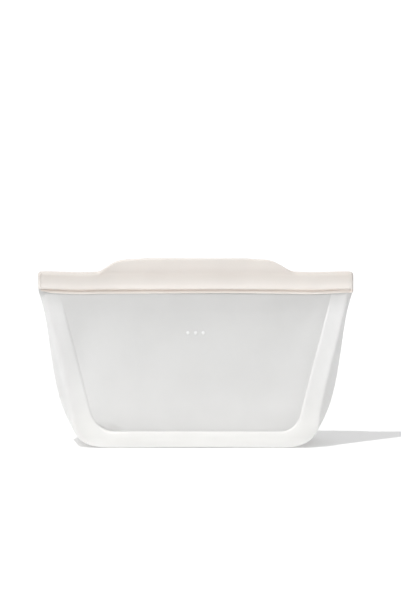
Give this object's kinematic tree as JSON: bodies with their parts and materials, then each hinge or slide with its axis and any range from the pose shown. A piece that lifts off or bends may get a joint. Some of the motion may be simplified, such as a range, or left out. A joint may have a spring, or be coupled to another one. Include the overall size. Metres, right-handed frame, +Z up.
{
  "type": "reusable silicone food bag",
  "caption": "Stand-up silicone food bag: wide mouth with press-to-close seal and pull tabs, translucent panels in thicker frames, side gussets and a flat base.",
  "frame": {"origin": "middle of the base, on the surface the bag stands on", "axes": "+X along the mouth, to the right seen from the front; the front wall faces -Y; +Z up"},
  "size_m": [0.27, 0.0628, 0.1587],
  "materials": {
    "body_silicone": "satin, milky translucent",
    "window_silicone": "frosted, translucent",
    "closure_silicone": "satin, opaque oatmeal"
  },
  "bodies": {
    "base": {"base_panel": "body_silicone", "front_frame": "body_silicone", "back_frame": "body_silicone", "left_gusset": "body_silicone", "right_gusset": "body_silicone", "left_closure_end": "closure_silicone", "right_closure_end": "closure_silicone"},
    "front_wall": {"front_window": "window_silicone", "front_lip": "closure_silicone", "front_pull_tab": "closure_silicone", "lower_seal_groove": "closure_silicone", "upper_seal_groove": "closure_silicone"},
    "back_wall": {"back_window": "window_silicone", "back_lip": "closure_silicone", "back_pull_tab": "closure_silicone", "lower_seal_tongue": "closure_silicone", "upper_seal_tongue": "closure_silicone"}
  },
  "joints": [
    {"name": "front_wall_open", "type": "hinge", "parent": "base", "child": "front_wall", "pos_m": [0, -0.0272, 0.0142], "axis": [1, 0, 0], "range_deg": [0, 16], "stiffness_Nm_per_rad": 0.6},
    {"name": "back_wall_open", "type": "hinge", "parent": "base", "child": "back_wall", "pos_m": [0, 0.0272, 0.0142], "axis": [-1, 0, 0], "range_deg": [0, 16], "stiffness_Nm_per_rad": 0.6}
  ]
}
